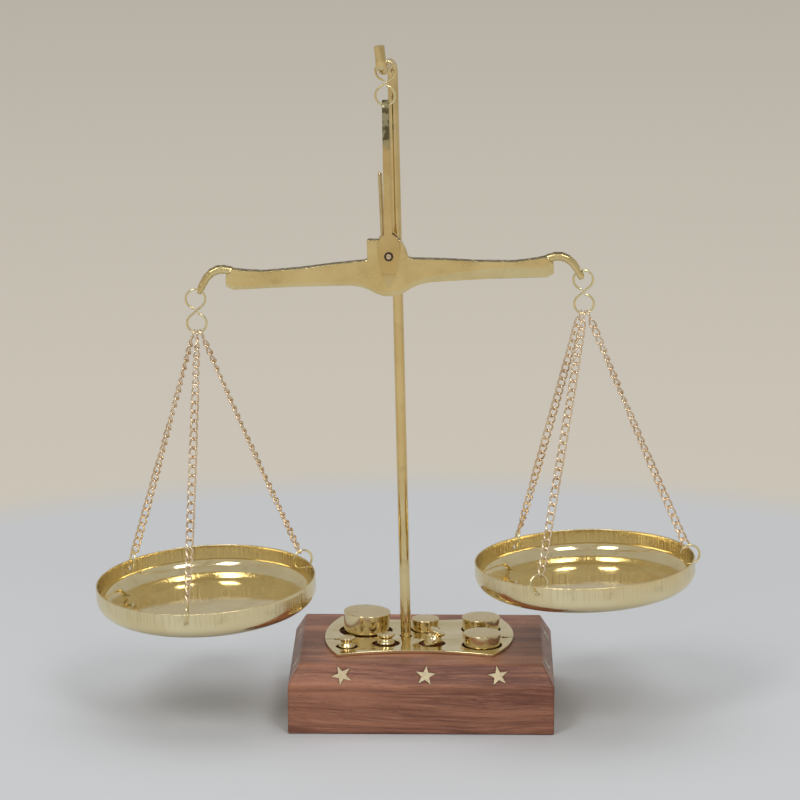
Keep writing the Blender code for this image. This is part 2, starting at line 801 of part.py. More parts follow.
def pan_profile():
    """The pan's section: up the inside from the floor's middle, over the rim and down the outside."""
    inner_wall = PAN_RADIUS - PAN_WALL
    floor_z = -PAN_DEPTH + PAN_WALL
    squash_in = (PAN_DEPTH - PAN_WALL - PAN_STRAIGHT) / (PAN_CORNER - PAN_WALL)
    squash_out = (PAN_DEPTH - PAN_STRAIGHT) / PAN_CORNER
    centre = PAN_RADIUS - PAN_CORNER
    inside = [
        (x, -PAN_STRAIGHT + z * squash_in)
        for x, z in arc((centre, 0), PAN_CORNER - PAN_WALL, -math.pi / 2, 0, 5)
    ]
    outside = [
        (x, -PAN_STRAIGHT + z * squash_out)
        for x, z in arc((centre, 0), PAN_CORNER, 0, -math.pi / 2, 5)
    ]
    rim = [(inner_wall, -0.0001), (inner_wall + 0.0001, 0), (PAN_RADIUS - 0.0001, 0), (PAN_RADIUS, -0.0001)]
    return [(0, floor_z)] + inside + rim + outside + [(0, -PAN_DEPTH)]


def pan_matrix(side):
    """Carries a level pan, with its rim's centre at the origin, to its place in the world."""
    front_down, right_up = (math.radians(angle) for angle in side["tilt"])
    return (
        Matrix.Translation(side["rim"])
        @ Matrix.Rotation(-right_up, 4, "Y")
        @ Matrix.Rotation(front_down, 4, "X")
    )


def tip_hole(side):
    return beam_point(*side["eye"])


def hang_point(side):
    """The lowest point of the wire that a side's chains hang from."""
    return tip_hole(side) + lower_ring_foot(side["ring_shift"], side["lean"])


def frame_at(centre, up, across):
    """A frame at the centre with Z along up, and with Y as near to across as it can be."""
    z = up.normalized()
    y = (across - z * across.dot(z)).normalized()
    return Matrix.Translation(centre) @ Matrix((y.cross(z), y, z)).transposed().to_4x4()


def wall_hole(side, place_name):
    """The middle of the hole in a pan's wall that a chain's ring goes through, facing outwards."""
    bearing, _, depth = side["chains"][place_name]
    outwards = Matrix.Rotation(math.radians(bearing), 4, "Z") @ Matrix.Rotation(math.pi / 2, 4, "Y")
    wall = outwards.to_3x3() @ Vector((depth, 0, PAN_RADIUS - PAN_WALL / 2))
    return pan_matrix(side) @ Matrix.Translation(wall) @ outwards


def ring_points(radius, steps, gap=0.0):
    """A ring in the X-Z plane. A gap in radians leaves it open at its outer side."""
    ends = (gap / 2, 2 * math.pi - gap / 2)
    points = [(x, 0, z) for x, z in arc((0, 0), radius, *ends, steps)]
    return points if gap else points[:-1]


def set_origin(obj, matrix, origin):
    """Keeps the shape where matrix puts it, with the object's origin at the given point."""
    obj.data.transform(Matrix.Translation(-origin) @ matrix)
    obj.matrix_world = Matrix.Translation(origin)
    return obj


def make_pan(name, side):
    """A pan, held by an empty on the point that it swings from."""
    hang = hang_point(side)
    pan = smooth(turned(f"{name}_pan", pan_profile(), spun_brass(), steps=40))
    swivel = bpy.data.objects.new(f"{name}_pan_swivel", None)
    parts.objects.link(swivel)
    swivel.location = hang
    pan.parent = swivel
    pan.matrix_local = Matrix.Translation(-hang) @ pan_matrix(side)
    for place_name in side["chains"]:
        drill_name = f"{name}_{place_name}_wall_hole"
        drill = round_cutter(drill_name, PAN_HOLE_RADIUS, -0.003, 0.003, steps=12)
        drill.matrix_world = wall_hole(side, place_name)
        cut(pan, drill)


def make_chain(name, place_name, side, hang):
    """One chain in a straight line: its top link on the hook, the chain as a plain rod, its ring."""
    bearing, turn, _ = side["chains"][place_name]
    spread = math.radians(LINK_ANGLES[place_name])
    tangent = Vector((math.cos(spread), 0, math.sin(spread)))
    middle = hang + Vector((0, 0, HOOK_RADIUS))
    top = middle + Vector((math.sin(spread), 0, -math.cos(spread))) * HOOK_RADIUS
    hole = wall_hole(side, place_name).translation
    up = (top - hole).normalized()

    facing = math.radians(bearing + turn + 90)
    ring_at = frame_at(hole + up * RING_RADIUS, up, Vector((math.cos(facing), math.sin(facing), 0)))
    ring_name = f"{name}_{place_name}_jump_ring"
    ring = wire(ring_name, ring_points(RING_RADIUS, 18), RING_WIRE, wire_brass(), cyclic=True)
    set_origin(smooth(ring), ring_at, hang)

    drop = LINK_RADIUS - LINK_WIRE - HOOK_WIRE - PLAY
    link_at = frame_at(top - up * drop, up, tangent)
    link_name = f"{name}_{place_name}_end_link"
    link = wire(link_name, ring_points(LINK_RADIUS, 14), LINK_WIRE, chain_brass(), cyclic=True)
    set_origin(smooth(link), link_at, hang)

    start = top - up * (drop + LINK_RADIUS + LINK_WIRE + PLAY) - hang
    end = hole + up * (2 * RING_RADIUS + RING_WIRE + PLAY) - hang
    chain = wire(f"{name}_{place_name}_chain", (start, end), CHAIN_RADIUS, chain_brass())
    smooth(chain).location = hang


def make_side(name, side):
    hook = wire(f"{name}_s_hook", hook_path(side["ring_shift"], side["lean"]), HOOK_WIRE, wire_brass())
    smooth(hook)
    hook.location = tip_hole(side)
    make_pan(name, side)
    for place_name in side["chains"]:
        make_chain(name, place_name, side, hang_point(side))


def main():
    global parts, cutters
    clear_scene()
    parts = new_collection("balance_scale")
    cutters = new_collection("cutters")
    make_block()
    make_plate()
    make_nails()
    make_plain_weights()
    make_spool_weights()
    make_post()
    make_top_hook()
    make_fork()
    make_beam()
    make_pointer()
    for name, side in SIDES.items():
        make_side(name, side)


main()
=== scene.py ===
"""Looks of the brass balance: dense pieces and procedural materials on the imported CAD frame.

Everything is in metres in the row frame: +Z is up and the front of the scale faces -Y.
"""

import json
import math

import bmesh
import bpy
from mathutils import Matrix, Vector, noise


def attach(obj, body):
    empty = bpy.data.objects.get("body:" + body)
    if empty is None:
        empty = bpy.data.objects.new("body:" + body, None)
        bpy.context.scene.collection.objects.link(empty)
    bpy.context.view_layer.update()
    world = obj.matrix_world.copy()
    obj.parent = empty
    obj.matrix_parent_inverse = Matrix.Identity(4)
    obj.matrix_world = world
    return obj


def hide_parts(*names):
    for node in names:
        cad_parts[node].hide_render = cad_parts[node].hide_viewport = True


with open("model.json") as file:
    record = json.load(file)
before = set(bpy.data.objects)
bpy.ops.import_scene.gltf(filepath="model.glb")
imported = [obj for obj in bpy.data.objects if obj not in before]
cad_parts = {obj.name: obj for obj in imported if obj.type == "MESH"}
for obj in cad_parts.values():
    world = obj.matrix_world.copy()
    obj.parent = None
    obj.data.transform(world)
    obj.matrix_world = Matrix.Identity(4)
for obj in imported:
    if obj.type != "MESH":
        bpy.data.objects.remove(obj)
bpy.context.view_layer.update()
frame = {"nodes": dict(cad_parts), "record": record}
scene = bpy.context.scene
body_of = {
    node: body
    for body, nodes in frame["record"]["behaviour"]["bodies"].items()
    for node in nodes
}

# Dimensions that the dense pieces share with the CAD model

MM = 0.001
BEAM_Y = -13 * MM
PIVOT = Vector((-15.1 * MM, BEAM_Y, 215.3 * MM))
BEAM_TILT = math.radians(2.48)
BEAM_MATRIX = Matrix.Translation(PIVOT) @ Matrix.Rotation(-BEAM_TILT, 4, "Y")
TOP_RING = Vector((-16.7 * MM, BEAM_Y, 298.9 * MM))
PLATE_TOP = 33.0 * MM

HOOK_RADIUS = 4.4 * MM
HOOK_WIRE = 0.52 * MM
HOOK_PITCH = 11.2 * MM
HOOK_OPEN_ANGLE = math.radians(262.0)

PAN_RADIUS = 50.5 * MM
PAN_WALL = 0.7 * MM
PAN_STRAIGHT = 6.3 * MM
PAN_DEPTH = 14.0 * MM
PAN_CORNER = 12.0 * MM
PAN_HOLE = 1.25 * MM

RING_RADIUS = 4.4 * MM
RING_WIRE = 0.48 * MM
LINK_RADIUS = 2.2 * MM
LINK_WIRE = 0.36 * MM
LINK_ANGLES = {"left": -22.0, "front": 0.0, "right": 22.0}
PLAY = 0.3 * MM

CAMERA_LENS = 180
CAMERA_PLACE = (0.0208, -1.7824, 0.56)
CAMERA_PITCH = 13.1
CAMERA_YAW = 1.0

# Each side: the eye in the beam's tip, the hook's sideways shift and lean, the rim's centre and its
# tilts, and for each chain its bearing, its ring's turn and its hole's depth
SIDES = {
    "left": {
        "eye": (-86.2 * MM, -12.9 * MM),
        "shift": -1.9 * MM,
        "lean": math.radians(2.6),
        "rim": Vector((-99.4, -13.0, 63.6)) * MM,
        "tilt": (2.9, 2.9),
        "chains": {
            "left": (138.5, -35.0, 3.8 * MM),
            "front": (263.5, 8.0, 3.8 * MM),
            "right": (25.0, 0.0, 3.6 * MM),
        },
    },
    "right": {
        "eye": (84.9 * MM, -11.0 * MM),
        "shift": 2.3 * MM,
        "lean": math.radians(2.6),
        "rim": Vector((74.5, -13.0, 74.2)) * MM,
        "tilt": (0.4, 2.0),
        "chains": {
            "left": (129.0, -35.0, 4.2 * MM),
            "front": (243.5, -38.0, 3.4 * MM),
            "right": (4.0, 8.0, 4.8 * MM),
        },
    },
}

# Weights: place, radius, height above the plate and depth below it in millimetres, lean in degrees
PLAIN_WEIGHTS = {
    "weight_50g": (-26.3, 8.7, 10.85, 9.0, 7.8, 2.0),
    "weight_20g_back": (27.2, 11.6, 8.8, 6.0, 3.6, 0.0),
    "weight_20g_front": (27.7, -14.0, 8.6, 5.8, 3.6, 0.0),
    "weight_10g": (1.3, 10.8, 6.4, 5.4, 3.6, 0.0),
}
SPOOL_WEIGHTS = {
    "weight_5g": (-16.6, -12.3, 4.1, 4.6, 6.0, 0.0),
    "weight_2g_left": (-34.4, -17.5, 3.8, 4.4, 3.0, 0.0),
    "weight_2g_right": (4.6, -12.0, 3.8, 5.3, 3.0, 24.0),
}
NAILS = {"left": (-39.2, -6.2), "right": (38.1, -1.8)}
WELLS = {
    "weight_50g": 12.4,
    "weight_20g_back": 9.2,
    "weight_20g_front": 9.25,
    "weight_10g": 7.0,
    "weight_5g": 6.4,
    "weight_2g_left": 5.1,
    "weight_2g_right": 6.2,
}


# Materials


class Look:
    """A material whose node tree is built up one value at a time."""

    def __init__(self, name):
        self.material = bpy.data.materials.new(name)
        self.material.use_nodes = True
        self.tree = self.material.node_tree
        self.shader = self.tree.nodes["Principled BSDF"]
        self.at = self.add("TexCoord").outputs["Object"]

    def add(self, kind, values=None, **settings):
        made = self.tree.nodes.new("ShaderNode" + kind)
        for name, value in settings.items():
            setattr(made, name, value)
        for name, value in (values or {}).items():
            self.feed(made.inputs[name], value)
        return made

    def feed(self, socket, value):
        if isinstance(value, bpy.types.NodeSocket):
            self.tree.links.new(value, socket)
        else:
            socket.default_value = value

    def set(self, **values):
        for name, value in values.items():
            self.feed(self.shader.inputs[name.replace("_", " ")], value)

    def math(self, operation, *values):
        made = self.add("Math", dict(enumerate(values)), operation=operation)
        return made.outputs[0]

    def vector(self, x, y, z):
        return self.add("CombineXYZ", {"X": x, "Y": y, "Z": z}).outputs[0]

    def split(self, vector=None):
        return self.add("SeparateXYZ", {0: vector or self.at}).outputs

    def scaled(self, x, y, z, vector=None):
        values = {0: vector or self.at, 1: (x, y, z)}
        return self.add("VectorMath", values, operation="MULTIPLY").outputs[0]

    def noise(self, scale, vector=None, detail=3.0, roughness=0.55, distortion=0.0):
        values = {"Vector": vector or self.at, "Scale": scale, "Detail": detail}
        values |= {"Roughness": roughness, "Distortion": distortion}
        return self.add("TexNoise", values).outputs["Fac"]

    def span(self, value, low, high, start=0.0, end=1.0):
        values = {"Value": value, "From Min": low, "From Max": high, "To Min": start, "To Max": end}
        return self.add("MapRange", values, interpolation_type="SMOOTHSTEP").outputs["Result"]

    def mix(self, share, first, second, blend="MIX"):
        made = self.add("Mix", data_type="RGBA", blend_type=blend)
        for index, value in ((0, share), (6, first), (7, second)):
            self.feed(made.inputs[index], rgba(value) if isinstance(value, tuple) else value)
        return made.outputs[2]

    def bump(self, height, distance, strength=1.0, normal=None):
        values = {"Height": height, "Distance": distance, "Strength": strength}
        if normal:
            values["Normal"] = normal
        return self.add("Bump", values).outputs["Normal"]

    def radius(self):
        flat = self.scaled(1, 1, 0)
        return self.add("VectorMath", {0: flat}, operation="LENGTH").outputs["Value"]

    def bearing(self):
        """A unit vector that points away from the object's own Z axis."""
        flat = self.scaled(1, 1, 0)
        return self.add("VectorMath", {0: flat}, operation="NORMALIZE").outputs[0]


def rgba(colour):
    return (*colour[:3], 1.0)


def brass(name, light, deep, rough=(0.08, 0.2), waves=0.00004, marks=None, stain=None):
    """Brass whose tone drifts, with fine wear. marks and stain add to the roughness and the colour."""
    look = Look(name)
    drift = look.noise(45.0, detail=2.0)
    patches = look.noise(170.0, detail=4.0)
    specks = look.noise(1500.0, detail=2.0)
    colour = look.mix(look.span(drift, 0.3, 0.7), light, deep)
    shade = look.span(patches, 0.55, 0.78)
    colour = look.mix(look.math("MULTIPLY", shade, 0.35), colour, tuple(0.62 * c for c in deep))
    dots = look.span(specks, 0.7, 0.76)
    colour = look.mix(look.math("MULTIPLY", dots, 0.4), colour, tuple(0.4 * c for c in deep))
    rough_value = look.span(patches, 0.3, 0.75, rough[0], rough[1])
    scratch = look.noise(1.0, look.scaled(60, 1900, 700), detail=2.0)
    scratch = look.span(scratch, 0.62, 0.7)
    rough_value = look.math("ADD", rough_value, look.math("MULTIPLY", scratch, 0.1))
    height = look.math("ADD", drift, look.math("MULTIPLY", patches, 0.35))
    normal = look.bump(height, waves * 10, 0.35)
    if marks:
        lines, depth, extra = marks(look)
        rough_value = look.math("ADD", rough_value, look.math("MULTIPLY", lines, extra))
        normal = look.bump(lines, depth, 1.0, normal)
    if stain:
        share, tint, extra = stain(look)
        colour = look.mix(share, colour, tint)
        rough_value = look.math("ADD", rough_value, look.math("MULTIPLY", share, extra))
    look.set(Base_Color=colour, Metallic=1.0, Roughness=rough_value, Normal=normal)
    return look.material


def turning_marks(look):
    """Fine rings left by the lathe, seen on the ends and round the sides."""
    z = look.split()[2]
    section = look.vector(look.radius(), 0.0, z)
    lines = look.span(look.noise(2600.0, section, detail=2.0), 0.35, 0.7)
    up = look.math("ABSOLUTE", look.split(look.add("TexCoord").outputs["Normal"])[2])
    ends = look.span(up, 0.6, 0.9, 0.3, 1.0)
    return look.math("MULTIPLY", lines, ends), 0.00001, 0.22


def pan_marks(look):
    """Upright brushing on the wall, and faint rings on the floor."""
    radius = look.radius()
    z = look.split()[2]
    wall = look.span(z, -0.0078, -0.0045)
    around = look.add("VectorMath", {0: look.bearing(), 1: (46, 46, 0)}, operation="MULTIPLY")
    rise = look.vector(0.0, 0.0, look.math("MULTIPLY", z, 30.0))
    upright = look.add("VectorMath", {0: around.outputs[0], 1: rise}, operation="ADD")
    brushed = look.noise(1.4, upright.outputs[0], detail=4.0, roughness=0.7)
    brushed = look.math("MULTIPLY", look.span(brushed, 0.4, 0.68), wall)
    rings = look.noise(900.0, look.vector(radius, 0.0, 0.0), detail=3.0)
    rings = look.math("MULTIPLY", look.span(rings, 0.45, 0.8), look.math("SUBTRACT", 1.0, wall))
    lines = look.math("ADD", brushed, look.math("MULTIPLY", rings, 0.12))
    return lines, 0.00003, 0.2


def pan_stain(look):
    """Darker streaks on the wall under the rim."""
    z = look.split()[2]
    around = look.add("VectorMath", {0: look.bearing(), 1: (31, 31, 0)}, operation="MULTIPLY")
    streaks = look.noise(2.2, around.outputs[0], detail=5.0, roughness=0.75)
    wall = look.span(z, -0.0085, -0.0035)
    share = look.math("MULTIPLY", look.span(streaks, 0.5, 0.72), wall)
    return look.math("MULTIPLY", share, 0.62), (0.4, 0.28, 0.12), 0.1


def top_tarnish(look):
    """Dark tarnish along faces that look up."""
    up = look.split(look.add("TexCoord").outputs["Normal"])[2]
    blotch = look.noise(420.0, detail=4.0)
    share = look.math("MULTIPLY", look.span(up, 0.55, 0.9), look.span(blotch, 0.3, 0.55))
    return look.math("MULTIPLY", share, 0.85), (0.1, 0.085, 0.05), 0.3


def file_marks(look):
    """Slanting file marks at the left end of the beam, and small cast pits all over."""
    x = look.split()[0]
    slant = {"Vector": look.at, "Angle": math.radians(38)}
    turned = look.add("VectorRotate", slant, rotation_type="Y_AXIS")
    lines = look.noise(1.0, look.scaled(2600, 300, 110, turned.outputs[0]), detail=2.0)
    end = look.span(x, -0.03, -0.062)
    cuts = look.math("MULTIPLY", look.span(lines, 0.6, 0.72), end)
    pits = look.span(look.noise(1300.0, detail=2.0), 0.7, 0.8)
    both = look.math("ADD", cuts, look.math("MULTIPLY", pits, 0.5))
    return both, 0.00004, 0.15


def fork_tarnish(look):
    """Grey-green tarnish with dark stains on the top of the fork."""
    z = look.split()[2]
    blotch = look.noise(260.0, detail=4.0, distortion=0.6)
    top = look.span(look.math("ADD", z, look.math("MULTIPLY", blotch, 0.012)), 0.052, 0.06)
    dark = look.span(look.noise(330.0, detail=2.0), 0.46, 0.6)
    tint = look.mix(dark, (0.33, 0.33, 0.22), (0.03, 0.035, 0.025))
    return look.math("MULTIPLY", top, 0.82), tint, 0.32


def pin_ring(look):
    """The dark ring round the peened end of the pin."""
    share = look.span(look.radius(), 0.00115, 0.00135)
    return look.math("MULTIPLY", share, 0.93), (0.035, 0.028, 0.02), 0.3


def wood():
    """Reddish-brown hardwood whose grain runs along X."""
    look = Look("sheesham_wood")
    flow = look.noise(1.0, look.scaled(9, 40, 40), detail=2.0)
    z = look.split()[2]
    drift = look.math("MULTIPLY", flow, 0.014)
    bent = look.vector(look.split()[0], look.split()[1], look.math("ADD", z, drift))
    bands = look.noise(1.0, look.scaled(10, 130, 330, bent), detail=5.0, roughness=0.62)
    fibres = look.noise(1.0, look.scaled(60, 1500, 1500, bent), detail=4.0, roughness=0.7)
    pores = look.noise(1.0, look.scaled(190, 3400, 3400, bent), detail=2.0)
    figure = look.noise(1.0, look.scaled(26, 70, 120), detail=3.0, distortion=0.8)
    colour = look.mix(look.span(bands, 0.33, 0.68), (0.15, 0.052, 0.031), (0.36, 0.152, 0.085))
    light = look.math("MULTIPLY", look.span(fibres, 0.45, 0.75), 0.5)
    colour = look.mix(light, colour, (0.46, 0.225, 0.15))
    shade = look.math("MULTIPLY", look.span(figure, 0.5, 0.75), 0.34)
    colour = look.mix(shade, colour, (0.1, 0.036, 0.026))
    dark = look.span(pores, 0.63, 0.7)
    colour = look.mix(look.math("MULTIPLY", dark, 0.65), colour, (0.05, 0.018, 0.013))
    rough = look.span(fibres, 0.3, 0.7, 0.34, 0.52)
    rough = look.math("ADD", rough, look.math("MULTIPLY", dark, 0.2))
    grain = look.math("SUBTRACT", look.math("MULTIPLY", fibres, 0.4), dark)
    edge = look.add("Bevel", {"Radius": 2.2 * MM}, samples=6).outputs[0]
    normal = look.bump(grain, 0.00005, 0.8, edge)
    look.set(Base_Color=colour, Roughness=rough, Normal=normal)
    look.set(Coat_Weight=0.1, Coat_Roughness=0.25, Specular_IOR_Level=0.34)
    return look.material


def zinc():
    look = Look("zinc_plate")
    spangle = look.noise(700.0, detail=3.0)
    colour = look.mix(look.span(spangle, 0.3, 0.7), (0.52, 0.52, 0.5), (0.68, 0.67, 0.64))
    normal = look.bump(spangle, 0.00002, 0.5)
    rough = look.span(spangle, 0.3, 0.7, 0.28, 0.45)
    look.set(Base_Color=colour, Metallic=1.0, Roughness=rough, Normal=normal)
    return look.material


def sanded_marks(look):
    lines = look.noise(1.0, look.scaled(300, 4200, 2600), detail=2.0)
    return look.span(lines, 0.4, 0.7), 0.00002, 0.14


looks = {
    "wood": wood(),
    "zinc": zinc(),
    "plate": brass("plate_brass", (0.84, 0.73, 0.45), (0.76, 0.64, 0.36), (0.06, 0.13)),
    "post": brass("post_brass", (0.78, 0.63, 0.34), (0.7, 0.54, 0.26), (0.08, 0.17)),
    "fork": brass("fork_brass", (0.72, 0.56, 0.27), (0.64, 0.47, 0.2), (0.14, 0.26), stain=fork_tarnish),
    "pin": brass("pin_brass", (0.7, 0.55, 0.4), (0.6, 0.44, 0.3), (0.2, 0.35), stain=pin_ring),
    "beam": brass(
        "beam_brass", (0.78, 0.64, 0.33), (0.7, 0.54, 0.25), (0.16, 0.27),
        marks=file_marks, stain=top_tarnish,
    ),
    "pointer": brass("pointer_brass", (0.72, 0.59, 0.34), (0.56, 0.44, 0.24), (0.16, 0.3)),
    "pan": brass(
        "pan_brass", (0.85, 0.74, 0.46), (0.8, 0.67, 0.38), (0.05, 0.12),
        marks=pan_marks, stain=pan_stain,
    ),
    "weight": brass(
        "weight_brass", (0.8, 0.68, 0.41), (0.72, 0.58, 0.32), (0.08, 0.2),
        marks=turning_marks,
    ),
    "wire": brass("hook_wire", (0.86, 0.78, 0.48), (0.78, 0.66, 0.36), (0.12, 0.25)),
    "chain": brass("chain_wire", (0.88, 0.73, 0.54), (0.74, 0.56, 0.38), (0.14, 0.3)),
    "star": brass("star_brass", (0.52, 0.45, 0.3), (0.43, 0.36, 0.23), (0.3, 0.44), marks=sanded_marks),
    # The nails are dark partly for their own dark metal and partly as painted shade of the holes they sit
    # in.
    "nail": brass("dark_nail_with_hole_shade", (0.34, 0.25, 0.13), (0.16, 0.12, 0.07), (0.3, 0.5)),
}


# Mesh building


def add_mesh(name, verts, faces, look, matrix=None, angle=35.0):
    mesh = bpy.data.meshes.new(name)
    mesh.from_pydata([tuple(vert) for vert in verts], [], faces)
    mesh.validate()
    return add_object(name, mesh, look, matrix, angle)


def add_object(name, mesh, look, matrix=None, angle=35.0):
    obj = bpy.data.objects.new(name, mesh)
    scene.collection.objects.link(obj)
    if matrix:
        obj.matrix_world = matrix
    mesh.materials.clear()
    mesh.materials.append(looks[look])
    mesh.shade_smooth()
    mesh.set_sharp_from_angle(angle=math.radians(angle))
    return obj


def settle(obj, slot, *nodes):
    """The piece stands for the CAD nodes and moves with their body."""
    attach(obj, body_of[nodes[0]])
    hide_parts(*nodes)
    return obj


def arc(centre, radius, start, end, steps):
    return [
        (
            centre[0] + radius * math.cos(start + (end - start) * step / steps),
            centre[1] + radius * math.sin(start + (end - start) * step / steps),
        )
        for step in range(steps + 1)
    ]


def rounded(points, radius, steps=4):
    """The open outline with each of its inner corners rounded."""
    made = [tuple(points[0])]
    for before, at, after in zip(points, points[1:], points[2:]):
        at = Vector(at)
        back, on = Vector(before) - at, Vector(after) - at
        reach = min(radius, back.length / 2, on.length / 2)
        start, end = at + back.normalized() * reach, at + on.normalized() * reach
        for step in range(steps + 1):
            t = step / steps
            made.append(tuple(start * (1 - t) ** 2 + at * 2 * t * (1 - t) + end * t * t))
    made.append(tuple(points[-1]))
    return made


def lathe(name, profile, look, matrix, steps=96, angle=35.0):
    """Turns the (radius, height) profile, which runs down the outer side."""
    verts, faces, rings = [], [], []
    for radius, height in profile:
        first = len(verts)
        count = 1 if radius < 1e-7 else steps
        for step in range(count):
            turn = 2 * math.pi * step / steps
            verts.append((radius * math.cos(turn), radius * math.sin(turn), height))
        rings.append(range(first, first + count))
    for high, low in zip(rings, rings[1:]):
        for step in range(steps):
            on = (step + 1) % steps
            loop = [high[step % len(high)], low[step % len(low)], low[on % len(low)], high[on % len(high)]]
            face = list(dict.fromkeys(loop))
            if len(face) > 2:
                faces.append(face)
    return add_mesh(name, verts, faces, look, matrix, angle)


def tube(points, radii, sides=12, closed=False, dome=0.5):
    """A round tube's points and faces. An open tube has domed ends."""
    points = [Vector(point) for point in points]
    count = len(points)
    centre = sum(points, Vector()) / count
    verts, faces, rings = [], [], []
    side = None

    def add_ring(middle, across, other, radius):
        first = len(verts)
        for step in range(sides):
            turn = 2 * math.pi * step / sides
            verts.append(middle + (across * math.cos(turn) + other * math.sin(turn)) * radius)
        rings.append(range(first, first + sides))

    for index, point in enumerate(points):
        before = points[index - 1] if closed or index else point
        after = points[(index + 1) % count] if closed or index < count - 1 else point
        along = (after - before).normalized()
        seed = point - centre if closed else (side or along.orthogonal())
        side = (seed - along * seed.dot(along)).normalized()
        other = along.cross(side)
        if index == 0 and not closed:
            for turn in (1.25, 0.9, 0.45):
                middle = point - along * radii[0] * dome * math.sin(turn)
                add_ring(middle, side, other, radii[0] * math.cos(turn))
        add_ring(point, side, other, radii[index])
    if not closed:
        for turn in (0.45, 0.9, 1.25):
            middle = points[-1] + along * radii[-1] * dome * math.sin(turn)
            add_ring(middle, side, other, radii[-1] * math.cos(turn))
    pairs = list(zip(rings, rings[1:])) + ([(rings[-1], rings[0])] if closed else [])
    for first, second in pairs:
        for step in range(sides):
            on = (step + 1) % sides
            faces.append((first[step], first[on], second[on], second[step]))
    if not closed:
        faces.append(tuple(reversed(rings[0])))
        faces.append(tuple(rings[-1]))
    return verts, faces


def wire(name, points, radius, look, matrix=None, sides=12, closed=False, radii=None, dome=0.5):
    verts, faces = tube(points, radii or [radius] * len(points), sides, closed, dome)
    return add_mesh(name, verts, faces, look, matrix, 50.0)


def slab(name, outlines, thickness, edge, look, matrix):
    """A flat plate with holes and rounded edges, from closed X-Y outlines."""
    curve = bpy.data.curves.new(name, "CURVE")
    curve.dimensions = "2D"
    curve.fill_mode = "BOTH"
    curve.extrude = thickness / 2 - edge
    curve.bevel_depth = edge
    curve.bevel_resolution = 3
    curve.offset = -edge
    for outline in outlines:
        spline = curve.splines.new("POLY")
        spline.points.add(len(outline) - 1)
        for point, (x, y) in zip(spline.points, outline):
            point.co = (x, y, 0, 1)
        spline.use_cyclic_u = True
    obj = bpy.data.objects.new(name, curve)
    scene.collection.objects.link(obj)
    bpy.context.view_layer.update()
    mesh = bpy.data.meshes.new_from_object(obj.evaluated_get(bpy.context.evaluated_depsgraph_get()))
    bpy.data.objects.remove(obj)
    weld(mesh, 0.000002)
    return add_object(name, mesh, look, matrix, 40.0)


def weld(mesh, distance):
    bm = bmesh.new()
    bm.from_mesh(mesh)
    bmesh.ops.remove_doubles(bm, verts=bm.verts, dist=distance)
    bm.to_mesh(mesh)
    bm.free()


def refined(node, name, look, matrix, voxel, passes):
    """A dense copy of a CAD node with softened edges, in millimetres in the frame of matrix."""
    mesh = frame["nodes"][node].data.copy()
    mesh.transform(Matrix.Scale(1000, 4) @ matrix.inverted())
    weld(mesh, 0.001)
    obj = bpy.data.objects.new(name, mesh)
    scene.collection.objects.link(obj)
    remesh = obj.modifiers.new("remesh", "REMESH")
    remesh.mode = "VOXEL"
    remesh.voxel_size = voxel
    relax = obj.modifiers.new("relax", "SMOOTH")
    relax.factor = 0.5
    relax.iterations = passes
    bpy.context.view_layer.update()
    dense = bpy.data.meshes.new_from_object(obj.evaluated_get(bpy.context.evaluated_depsgraph_get()))
    bpy.data.objects.remove(obj)
    return dense


def placed(name, dense, look, matrix, angle=60.0):
    """Makes the millimetre mesh an object in the frame of matrix."""
    dense.transform(Matrix.Scale(MM, 4))
    return add_object(name, dense, look, matrix, angle)


def keep_cad(node, look):
    obj = frame["nodes"][node]
    for material_slot in obj.material_slots:
        material_slot.material = looks[look]


# Plate, weights and post


def bowed(start, end, sagitta, steps=40):
    start, end = Vector(start), Vector(end)
    along = end - start
    across = Vector((-along.y, along.x)).normalized()
    return [
        tuple(start + along * (s / steps) + across * sagitta * 4 * (s / steps) * (1 - s / steps))
        for s in range(steps)
    ]


def box_mesh(name, size, middle):
    bm = bmesh.new()
    bmesh.ops.create_cube(bm, size=1)
    bmesh.ops.scale(bm, vec=size, verts=bm.verts)
    bmesh.ops.translate(bm, vec=middle, verts=bm.verts)
    mesh = bpy.data.meshes.new(name)
    bm.to_mesh(mesh)
    bm.free()
    return mesh


def carve(obj, tool):
    """Cuts the tool's shape from the object for good, and removes the tool."""
    modifier = obj.modifiers.new("cut", "BOOLEAN")
    modifier.object = tool
    modifier.solver = "EXACT"
    bpy.context.view_layer.update()
    graph = bpy.context.evaluated_depsgraph_get()
    mesh = bpy.data.meshes.new_from_object(obj.evaluated_get(graph))
    obj.modifiers.clear()
    obj.data = mesh
    bpy.data.objects.remove(tool)


